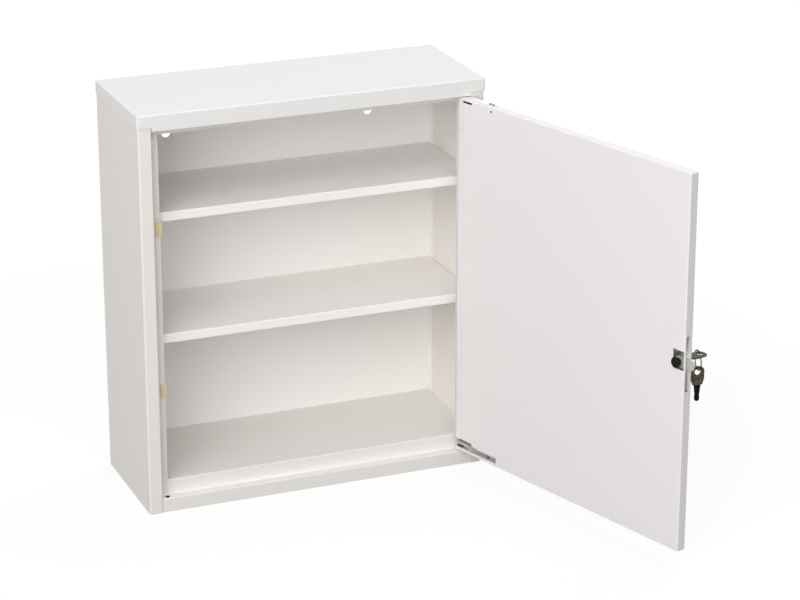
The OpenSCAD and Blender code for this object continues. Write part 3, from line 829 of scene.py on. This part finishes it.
class CABINET_OT_door_liner(Maker):
    """Makes the inner door liner with its hinge notch, vent slot and lock window."""

    bl_idname = "cabinet.door_liner"
    bl_label = "Make the Door Liner"

    def make(self, scene):
        door, sheet = scene.door_sizes, scene.cabinet_sizes.sheet
        half, far = door.half, -door.reach + sheet
        near_side, low, high = -door.liner_start, door.liner_bottom, door.liner_top
        liner = block("door_inner_liner", (far, -half + sheet, low), (near_side, half, high))
        lap = 1.6  # how far the liner's side reaches in along the free edge
        with shaping(liner, "FACE"):
            pick(liner, "faces", lambda p: near(p.y, -half + sheet))
            bpy.ops.mesh.delete(type="FACE")
            pick(liner, "faces", lambda p: near(p.x, far))
            bpy.ops.mesh.bisect(
                plane_co=(0, (half - lap) * MM, 0), plane_no=(0, 1, 0), clear_inner=True
            )
        for side, radius, segments in (
            (near_side, door.liner_fold, 6), (far, door.liner_rim, 3)
        ):
            fold = both(lambda p, side=side: near(p.y, half) and near(p.x, side))
            round_off(liner, fold, radius, segments)
        for level in (low, high):
            fold = both(lambda p, level=level: near(p.z, level) and p.y > half - 2.3)
            round_off(liner, fold, door.liner_rim, 3)
        walls(liner, sheet)
        lock_a, lock_z = lock_axis.x / MM, lock_axis.z / MM
        notch_end, strap_end, strap_notch, window_down = -30, -80, 9, 8.0
        vent_start, vent_end = VENT_SIDES
        cut(
            liner,
            block("hinge_notch", (notch_end, -half, low - OVER),
                  (OVER, half + OVER, low + NOTCH)),
            block("strap_notch", (strap_end, -half, low - OVER),
                  (OVER, half + OVER, low + strap_notch)),
            block("vent", (vent_start, VENT_INNER, high - door.vent),
                  (vent_end, half + OVER, high + OVER)),
            block("lock_window", (far - OVER, half - sheet - 2, lock_z - window_down),
                  (lock_a + door.window_near, half + OVER, lock_z + door.window_up)),
        )
        soften(liner, 0.15, 2, 55)
        mark_off(liner, door.top)
        tones = scene.cabinet_finishes
        paint = powder_coat("liner_paint", tones.door, tones.coat_roughness + 0.02)
        depth = 0.7 * sheet

        def hidden(point):
            level = door.top - BEHIND_VENT < point.z < high - depth
            within = -BEHIND_VENT < point.x < near_side - depth
            return point.y < half - depth and within and level

        # Painted shade: the liner's inner faces behind the vent slot take the same near-black
        # vent tone.
        wear_material(liner, paint, bpy.data.materials["door_primer"], hidden)
        put_at(liner, DOOR)
        hand_over(liner, "door", ["door_liner"], None)


# Hinge ----------------------------------------------------------------------

STRAP_HALF = 5.5  # half width of a strap, which is also the radius of its end, mm
LOW_STRAP, HIGH_STRAP = 2.5, 1.5  # thickness of the straps, mm
LOW_SCREW, HIGH_SCREWS = -57.0, (-53.5, -59.5)  # the screws' places along the door, mm
SHANK = 1.25  # radius of a screw's shank, mm


def node_heights(node):
    """A node's lowest and highest level at rest, in millimetres above the foot."""
    return [corner.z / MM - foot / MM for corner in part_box(node)]


class CABINET_OT_straps(Maker):
    """Makes the two hinge straps: a cranked one below and a flat one on top."""

    bl_idname = "cabinet.straps"
    bl_label = "Make the Hinge Straps"

    def make(self, scene):
        door = scene.door_sizes
        low, arm, top = door.bottom + 1, door.bottom + 8.7, door.top
        end, bend_start, bend_end, high_end = -78, -26, -20, -62
        tone = scene.cabinet_finishes.zinc
        zinc = plated("strap_zinc", tone, 0.5, (60, 900, 900), metallic=0.1)
        path = [(end, low), (bend_start, low), (bend_end, arm), (STRAP_HALF, arm)]
        lower = self.strip("hinge_strap_lower", path, LOW_STRAP)
        place = Matrix.Translation((LOW_SCREW * MM, 0, 0))
        cut(
            lower,
            rod("pin_hole", 2.15, arm - 1, arm + 4),
            rod("screw_hole", SHANK, low - 1, low + 4, place),
        )
        soften(lower, 0.3, 2)
        put_at(lower, DOOR)
        hand_over(lower, "door", ["strap_lower"], zinc)
        path = [(high_end, top), (STRAP_HALF, top)]
        upper = self.strip("hinge_strap_upper", path, HIGH_STRAP)
        cut(upper, rod("pin_hole", 2.1, top - 1, top + 3))
        soften(upper, 0.25, 2)
        put_at(upper, DOOR)
        # Painted reflection: the top strap is zinc but wears the white door paint, standing in
        # for the bright surroundings it reflects.
        paint = bpy.data.materials["door_paint"]
        hand_over(upper, "door", ["strap_upper"], paint)

    def strip(self, name, path, thick):
        """A bent flat strip, its last corners rounded about the pivot."""
        (start, level), (second, _) = path[0], path[1]
        strip = block(name, (start, -STRAP_HALF, level), (second, STRAP_HALF, level + thick))
        with shaping(strip, "FACE"):
            for (x0, z0), (x1, z1) in zip(path[1:], path[2:]):
                pick(strip, "faces", lambda p, x0=x0: near(p.x, x0, 0.01))
                move = ((x1 - x0) * MM, 0, (z1 - z0) * MM)
                bpy.ops.mesh.extrude_region_move(TRANSFORM_OT_translate={"value": move})
        end = path[-1][0]

        def corner(one, two):
            return spans(one, two) and near(one.x, end) and near(two.x, end)

        round_off(strip, corner, STRAP_HALF, 10, weld=0.01)
        return strip


class CABINET_OT_pins(Maker):
    """Turns the two hinge pins: the fixed one above and the sprung one below."""

    bl_idname = "cabinet.pins"
    bl_label = "Make the Hinge Pins"

    def make(self, scene):
        steel = plated("pin_steel", scene.cabinet_finishes.steel, 0.22, (900, 900, 120))
        low, tip = node_heights("pin_upper")
        upper = turned("hinge_pin_upper", [
            (2.9, low), (3.3, low + 0.3), (3.3, low + 0.9), (3.0, low + 1.2),
            (2.1, low + 1.2), (2.1, tip - 0.8), (1.9, tip - 0.4), (1.3, tip)])
        put_at(upper, DOOR)
        hand_over(upper, "door", ["pin_upper"], steel)
        low, head = node_heights("pin_lower")
        collar = scene.door_sizes.bottom + 1.1
        lower = turned("hinge_pin_lower", [
            (1.6, low), (2.1, low + 0.5), (2.1, collar), (3.6, collar), (3.9, collar + 0.3),
            (3.9, collar + 0.9), (3.6, collar + 1.2), (2.1, collar + 1.2), (2.1, head - 1.2),
            (3.0, head - 1.2), (3.3, head - 0.9), (3.3, head - 0.5), (2.8, head - 0.1),
            (2.2, head)])
        put_at(lower, DOOR)
        hand_over(lower, "hinge_pin", ["pin_lower"], steel)


class CABINET_OT_spring(Maker):
    """Winds the coil spring of the lower pin. It shortens as the pin lifts."""

    bl_idname = "cabinet.spring"
    bl_label = "Wind the Pin Spring"

    def make(self, scene):
        low, high = (p.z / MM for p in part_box("pin_spring"))
        travel = joints["pin_lift"]["range_m"][1] / MM
        wire, middle, turns = 0.45, 3.35, 5
        spring = wire_section("pin_spring_coil", wire, middle)
        wound(spring, math.tau, (high - low - 2 * wire) / turns, turns, 40, weld=0.002)
        put_at(spring, Matrix.Translation((hinge.x, hinge.y, (low + wire) * MM)))
        steel = plated("spring_steel", scene.cabinet_finishes.spring, 0.28, (400, 400, 400))
        hand_over(spring, "door", ["pin_spring"], steel, 60)
        (high - low - travel) / (high - low)
        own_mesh(spring)


class CABINET_OT_screws(Maker):
    """Makes one slotted pan-head screw and copies it to the straps, and the liner's rivet."""

    bl_idname = "cabinet.screws"
    bl_label = "Make the Screws and the Rivet"

    def make(self, scene):
        door = scene.door_sizes
        steel = plated("screw_steel", scene.cabinet_finishes.screw, 0.34, (500, 500, 500))
        screw = turned("strap_screw_1", [
            (1.0, -2.5), (SHANK, -2.2), (SHANK, 0), (1.8, 0), (1.9, 0.2), (1.85, 0.6),
            (1.6, 0.9), (1.1, 1.06), (0.4, 1.1)], sides=32)
        cut(screw, block("driver_slot", (-2.2, -0.3, 0.6), (2.2, 0.3, 2)))
        places = [(LOW_SCREW, door.bottom + 1 + LOW_STRAP)]
        places += [(along, door.top + HIGH_STRAP) for along in HIGH_SCREWS]
        pieces = [screw] + [copied(screw, f"strap_screw_{n}") for n in (2, 3)]
        for number, (piece, (x, z)) in enumerate(zip(pieces, places)):
            turn = Matrix.Rotation(math.radians(25 + 50 * number), 4, "Z")
            put_at(piece, DOOR @ Matrix.Translation((x * MM, 0, z * MM)) @ turn)
            nodes = ["strap_screws"] if piece is screw else []
            hand_over(piece, "door", nodes, steel)
        rivet = turned("liner_rivet_head", [
            (1.4, -2.0), (1.4, -1.0), (0.9, -1.0), (0.9, 0), (1.4, 0), (1.35, 0.25),
            (1.05, 0.42), (0.5, 0.5)], sides=24)
        along, down = -62.5, 2.5
        place = Matrix.Translation((along * MM, door.half * MM, (door.liner_top - down) * MM))
        put_at(rivet, DOOR @ place @ ALONG_LOCK)
        hand_over(rivet, "door", ["liner_rivet"], steel)


# Lock -----------------------------------------------------------------------


class CABINET_OT_lock(Maker):
    """Turns the lock's body and finishes its plug."""

    bl_idname = "cabinet.lock"
    bl_label = "Make the Lock"

    def make(self, scene):
        half = scene.door_sizes.half
        nickel = plated("satin_nickel", scene.cabinet_finishes.nickel, 0.2, (300, 300, 900))
        front = -half - 1.7
        body = turned("lock_barrel", [
            (9, -1.1), (9, -half), (10.8, -half), (11, -half - 0.2), (11, front + 0.8),
            (10.7, front + 0.3), (10.1, front), (6.9, front), (6.4, front + 0.25),
            (6.05, front + 0.6), (6.05, -1.1)], closed=True, sides=64)
        put_at(body, LOCK @ ALONG_LOCK)
        hand_over(body, "door", ["lock_body"], nickel)
        wear_material(frame["nodes"]["lock_plug"], nickel)


class CABINET_OT_cam(Maker):
    """Makes the cam and the glossy cap that holds it."""

    bl_idname = "cabinet.cam"
    bl_label = "Make the Cam and its Cap"

    def make(self, scene):
        tones = scene.cabinet_finishes
        steel = plated("cam_steel", tones.cam, 0.4, (90, 500, 900), metallic=0.35)
        half, tip, rear, front = 7.5, 26.3, -0.7, 1.8
        cam = block("cam_tongue", (-tip, rear, -half), (half, front, half))
        round_off(cam, lambda one, two: spans(one, two, "y"), half, 12, weld=0.01)
        hole = 3.55  # half width of the square hole for the plug's tang
        cut(cam, block("tang_hole", (-hole, -2, -hole), (hole, 3, hole)))
        soften(cam, 0.3, 2)
        put_at(cam, LOCK)
        hand_over(cam, "plug", ["cam"], steel)
        cap = turned("cam_cap_disc", [
            (4.4, 1.8), (4.6, 2.0), (4.6, 6.8), (6.8, 6.8), (7.15, 7.0), (7.2, 7.3),
            (7.1, 7.75), (6.8, 8.05), (6.4, 8.2), (5.2, 8.2), (4.9, 8.08), (4.6, 7.8),
            (2.6, 7.7), (2.3, 7.9), (1.8, 8.0), (0.6, 8.05)], sides=64)
        cut(cap, block("key_pocket", (-3.35, -1, 1), (3.35, 1, 3.7)))
        put_at(cap, LOCK @ ALONG_LOCK)
        black = moulded("cap_black", tones.cap, 0.36, 700, 0.00002, specular=0.14)
        hand_over(cap, "plug", ["cam_cap"], black)


class CABINET_OT_plug(Maker):
    """Makes the domed plug that fills the pivot hole for the other hand."""

    bl_idname = "cabinet.plug"
    bl_label = "Make the Hole Plug"

    def make(self, scene):
        low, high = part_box("hole_plug")
        middle, dome = (low + high) / 2, 1.4
        plug = turned("hole_plug_cap", [
            (2.1, -2.0), (2.25, -1.8), (2.25, 0), (2.7, 0), (2.8, 0.2), (2.7, 0.6), (2.3, 1.0),
            (1.6, 1.28), (0.7, dome)], sides=32)
        put_at(plug, Matrix.Translation((middle.x, middle.y, high.z - dome * MM)))
        tone = scene.cabinet_finishes.plug
        black = moulded("plug_black", tone, 0.4, 900, 0.00002, specular=0.25)
        hand_over(plug, "cabinet", ["hole_plug"], black)


# Keys -----------------------------------------------------------------------


def key_bow(name, keys):
    """A key's bow in its own plane: the blade's end at y = 0, a hole near the other end."""
    half, length, thick = keys.bow_width / 2, keys.bow_length, keys.bow_thick / 2
    shoulder, neck_half = 8, 6.4
    bow = block(name, (-half, 0, -thick), (half, length, thick))
    with shaping(bow, "FACE"):
        bpy.ops.mesh.select_all(action="SELECT")
        bpy.ops.mesh.bisect(plane_co=(0, shoulder * MM, 0), plane_no=(0, 1, 0))
    with shaping(bow, "VERT"):
        pick(bow, "verts", lambda p: near(p.y, 0))
        bpy.ops.transform.resize(value=(neck_half / half, 1, 1), center_override=(0, 0, 0))
    for level, radius, segments in ((length, 7, 10), (shoulder, 3, 4), (0, 0.8, 3)):

        def corner(one, two, level=level):
            return spans(one, two) and near(one.y, level) and near(two.y, level)

        round_off(bow, corner, radius, segments, weld=None)
    hole = Matrix.Translation((0, (length - keys.hole_in) * MM, 0))
    cut(bow, rod("bow_hole", keys.hole, -thick - 1, thick + 1, hole, 40))
    soften(bow, 0.35, 3, 50)
    return bow


def key_blade(name, keys):
    """A key's blade, from y = 0 down to its round tip, with a milled groove on both faces."""
    length, thick, full, tip = keys.blade_length, keys.blade_thick / 2, 4.5, 3.25
    # half widths at places along the blade
    widths = ((-8, 3.55), (-8.6, 3.85), (-9.6, 3.25), (-12, 3.15), (-13, 2.55),
              (-14.2, tip), (-18.5, tip))
    blade = block(name, (-full, -length, -thick), (full, 0, thick))
    with shaping(blade, "FACE"):
        for y, _ in widths:
            bpy.ops.mesh.select_all(action="SELECT")
            bpy.ops.mesh.bisect(plane_co=(0, y * MM, 0), plane_no=(0, 1, 0))
    with shaping(blade, "VERT"):
        for y, wide in widths + ((-length, tip),):
            pick(blade, "verts", lambda p, y=y: near(p.y, y))
            bpy.ops.transform.resize(value=(wide / full, 1, 1), center_override=(0, 0, 0))

    def end(one, two):
        return spans(one, two) and near(one.y, -length)

    round_off(blade, end, 3.2, 8, weld=None)
    for side in (-1, 1):
        low, high = sorted((side * (thick - 0.4), side * (thick + 0.5)))
        cut(blade, block("groove", (-0.7, -length + 2.5, low), (0.8, 1, high)))
    soften(blade, 0.15, 2, 50)
    return blade


class CABINET_OT_keys(Maker):
    """Makes the key in the lock and the spare key that hangs from the ring."""

    bl_idname = "cabinet.keys"
    bl_label = "Make the Keys"

    def make(self, scene):
        keys, tones = scene.key_sizes, scene.cabinet_finishes
        fine = (300, 300, 300)
        dark = plated("key_dark_nickel", tones.key, 0.36, fine,
                      wear=tones.key_worn, metallic=0.35)
        bronze = plated("key_bronze", tones.bronze, 0.42, fine,
                        wear=tones.bronze_worn, metallic=0.6, patch=330.0, blend=0.05)
        blade_steel = plated("key_blade_steel", tones.blade, 0.36, fine,
                             wear=tones.blade_worn)
        start = scene.door_sizes.half + keys.bow_gap
        half_turn = Matrix.Rotation(math.pi, 4, "Z")
        in_lock = LOCK @ Matrix.Translation((0, -start * MM, 0)) @ half_turn
        bow = key_bow("key_bow_in_lock", keys)
        spare_bow = copied(bow, "spare_key_bow")
        put_at(bow, in_lock)
        hand_over(bow, "plug", ["key_bow"], dark)
        blade = key_blade("key_blade_in_lock", keys)
        spare = copied(blade, "spare_key_blade")
        put_at(blade, in_lock)
        hand_over(blade, "plug", ["key_blade"], blade_steel)
        hang = -(keys.hole - keys.ring_wire - 0.1) + keys.hole_in - keys.bow_length
        place = (
            SPARE
            @ Matrix.Translation((0, 0, hang * MM))
            @ Matrix.Rotation(math.pi / 2, 4, "Z")
            @ Matrix.Rotation(math.pi / 2, 4, "X")
        )
        put_at(spare_bow, place)
        hand_over(spare_bow, "spare_key", ["spare_bow"], bronze)
        put_at(spare, place)
        hand_over(spare, "spare_key", ["spare_blade"], blade_steel)


class CABINET_OT_ring(Maker):
    """Winds the split ring that carries the spare key."""

    bl_idname = "cabinet.ring"
    bl_label = "Wind the Split Ring"

    def make(self, scene):
        keys, tones = scene.key_sizes, scene.cabinet_finishes
        wire, wide, thin = 0.5, 1.56, 0.66
        sweep, lead, start = math.radians(690), 1.26, 0.6
        ring = wire_section("split_ring", wire, keys.ring_radius)
        with shaping(ring, "VERT"):
            bpy.ops.mesh.select_all(action="SELECT")
            middle = (keys.ring_radius * MM, 0, 0)
            bpy.ops.transform.resize(value=(wide, 1, thin), center_override=middle)
        wound(ring, sweep, lead, 1, 180)
        put_at(ring, RING @ Matrix.Translation((keys.ring_aside * MM, 0, -keys.ring_drop * MM))
               @ Matrix.Rotation(math.pi / 2, 4, "X") @ Matrix.Rotation(start, 4, "Z")
               @ Matrix.Translation((0, 0, -lead / 2 * MM)))
        steel = plated("ring_steel", tones.ring, 0.45, (500, 500, 500), metallic=0.2)
        hand_over(ring, "ring", ["key_ring"], steel, 50)


# Stage ----------------------------------------------------------------------

CAMERA_PLACE = (-1.2153, -3.4685, 1.0952)  # m
CAMERA_TURN = (69.752, 0, -22.105)  # degrees
LENS, SENSOR = 126.89, 36  # mm
UNDER_FOOT = 0.0005  # gap between the floor and the cabinet's foot, m
PAPER_SHARE = 0.22  # share of plain paper in the floor close to the cabinet
PAPER_REACH, PAPER_FADE = 0.5, 1.0  # where the plain paper starts to go, and over how far, m
PAPER, BOUNCE = (0.9, 0.9, 0.9), (0.2, 0.195, 0.185)  # the paper, and the light it sends up
GLOW = 1.05  # strength of the white the camera sees


class CABINET_OT_stage(Maker):
    """Sets the pale floor, the soft light and the camera."""

    bl_idname = "cabinet.stage"
    bl_label = "Set the Stage"

    def make(self, scene):
        stage = scene.stage_settings
        bpy.ops.object.select_all(action="DESELECT")
        bpy.ops.mesh.primitive_circle_add(
            vertices=stage.floor_sides, radius=stage.floor_radius, fill_type="NGON",
            location=(0, 0, foot - UNDER_FOOT),
        )
        floor = bpy.context.object
        floor.name = "floor"
        bpy.ops.object.transform_apply()
        with shaping(floor, "FACE"):
            bpy.ops.mesh.select_all(action="SELECT")
            bpy.ops.mesh.inset(thickness=1.0, depth=0)
            bpy.ops.mesh.normals_make_consistent(inside=False)
        wear_material(floor, self.floor_finish())
        self.surroundings(scene, stage)
        self.lamps(stage)
        self.camera(scene)
        scene.view_settings.view_transform = "Standard"

    def floor_finish(self):
        """A floor that looks white and still takes the cabinet's soft shadow close by."""
        finish = Finish("floor_paper")
        tree = finish.tree
        tree.nodes.remove(finish.shader)
        split = finish.node("ShaderNodeSeparateXYZ", None, {"Vector": finish.place})
        across, along = (Value(tree, split.outputs[axis]) for axis in ("X", "Y"))
        away = (across * across + along * along) ** 0.5
        share = PAPER_SHARE * (1 - away.above(PAPER_REACH, PAPER_FADE))
        tooth = finish.noise(240.0, 3.0)
        white = finish.lit(PAPER, 0.98 + tooth * 0.04)
        paper = finish.node("ShaderNodeBsdfDiffuse", None, {"Color": white})
        dim = finish.node("ShaderNodeBsdfDiffuse", None, {"Color": BOUNCE})
        glow = finish.node("ShaderNodeEmission", None, {"Color": (1, 1, 1), "Strength": GLOW})
        pale = self.blended(finish, share, glow, paper)
        surface = self.blended(finish, self.seen_directly(tree), dim, pale)
        tree.links.new(surface.outputs[0], tree.nodes["Material Output"].inputs["Surface"])
        return finish.material

    def blended(self, finish, factor, first, second):
        inputs = {0: factor, 1: first.outputs[0], 2: second.outputs[0]}
        return finish.node("ShaderNodeMixShader", None, inputs)

    def seen_directly(self, tree):
        """1 on rays from the camera, mirrors and glass, 0 on the rays that carry light."""
        path = tree.nodes.new("ShaderNodeLightPath")
        camera, glossy, through = (
            Value(tree, path.outputs[ray])
            for ray in ("Is Camera Ray", "Is Glossy Ray", "Is Transmission Ray")
        )
        return camera.math("MAXIMUM", camera.math("MAXIMUM", camera, glossy), through)

    def surroundings(self, scene, stage):
        world = bpy.data.worlds.new("surroundings")
        world.use_nodes = True
        scene.world = world
        tree = world.node_tree
        back = tree.nodes["Background"]
        back.inputs["Color"].default_value = (1, 1, 1, 1)
        strength = self.seen_directly(tree) * (1 - stage.ambient) + stage.ambient
        tree.links.new(strength.socket, back.inputs["Strength"])

    def lamps(self, stage):
        """Soft key and fill lamps in front on the left, and one behind and above."""
        centre = (cad_low + cad_high) / 2
        for name in ("key", "fill", "back"):
            azimuth = getattr(stage, name + "_azimuth")
            elevation = getattr(stage, name + "_elevation")
            flat = math.cos(elevation)
            way = Vector(
                (-math.sin(azimuth) * flat, -math.cos(azimuth) * flat, math.sin(elevation))
            )
            bpy.ops.object.select_all(action="DESELECT")
            bpy.ops.object.light_add(type="AREA", location=centre + way * stage.distance)
            lamp = bpy.context.object
            lamp.name = name + "_lamp"
            lamp.data.shape = "DISK"
            lamp.data.size = getattr(stage, name + "_size")
            lamp.data.energy = getattr(stage, name + "_power")
            lamp.rotation_euler = way.to_track_quat("Z", "Y").to_euler()

    def camera(self, scene):
        bpy.ops.object.select_all(action="DESELECT")
        angles = [math.radians(angle) for angle in CAMERA_TURN]
        bpy.ops.object.camera_add(location=CAMERA_PLACE, rotation=angles)
        camera = bpy.context.object
        camera.data.lens = LENS
        camera.data.sensor_width = SENSOR
        scene.camera = camera


# Panel and registration -----------------------------------------------------

OPERATORS = (
    CABINET_OT_carcass,
    CABINET_OT_lid,
    CABINET_OT_buffers,
    CABINET_OT_door_skin,
    CABINET_OT_door_liner,
    CABINET_OT_straps,
    CABINET_OT_pins,
    CABINET_OT_spring,
    CABINET_OT_screws,
    CABINET_OT_lock,
    CABINET_OT_cam,
    CABINET_OT_plug,
    CABINET_OT_keys,
    CABINET_OT_ring,
    CABINET_OT_stage,
)
GROUPS = {
    "cabinet_sizes": CabinetSizes,
    "door_sizes": DoorSizes,
    "key_sizes": KeySizes,
    "cabinet_finishes": Finishes,
    "stage_settings": StageSettings,
}


class VIEW3D_PT_cabinet(bpy.types.Panel):
    """Sidebar panel with the cabinet's operators."""

    bl_label = "Medicine Cabinet"
    bl_idname = "VIEW3D_PT_cabinet"
    bl_space_type = "VIEW_3D"
    bl_region_type = "UI"
    bl_category = "Cabinet"

    def draw(self, context):
        column = self.layout.column(align=True)
        for operator in OPERATORS:
            column.operator(operator.bl_idname)


def register():
    for group in GROUPS.values():
        bpy.utils.register_class(group)
    for operator in OPERATORS:
        bpy.utils.register_class(operator)
    bpy.utils.register_class(VIEW3D_PT_cabinet)
    for name, group in GROUPS.items():
        setattr(bpy.types.Scene, name, PointerProperty(type=group))


def unregister():
    for name in GROUPS:
        delattr(bpy.types.Scene, name)
    bpy.utils.unregister_class(VIEW3D_PT_cabinet)
    for operator in reversed(OPERATORS):
        bpy.utils.unregister_class(operator)
    for group in reversed(GROUPS.values()):
        bpy.utils.unregister_class(group)


def main():
    register()
    for operator in OPERATORS:
        area, name = operator.bl_idname.split(".")
        getattr(getattr(bpy.ops, area), name)()


if __name__ == "__main__":
    main()
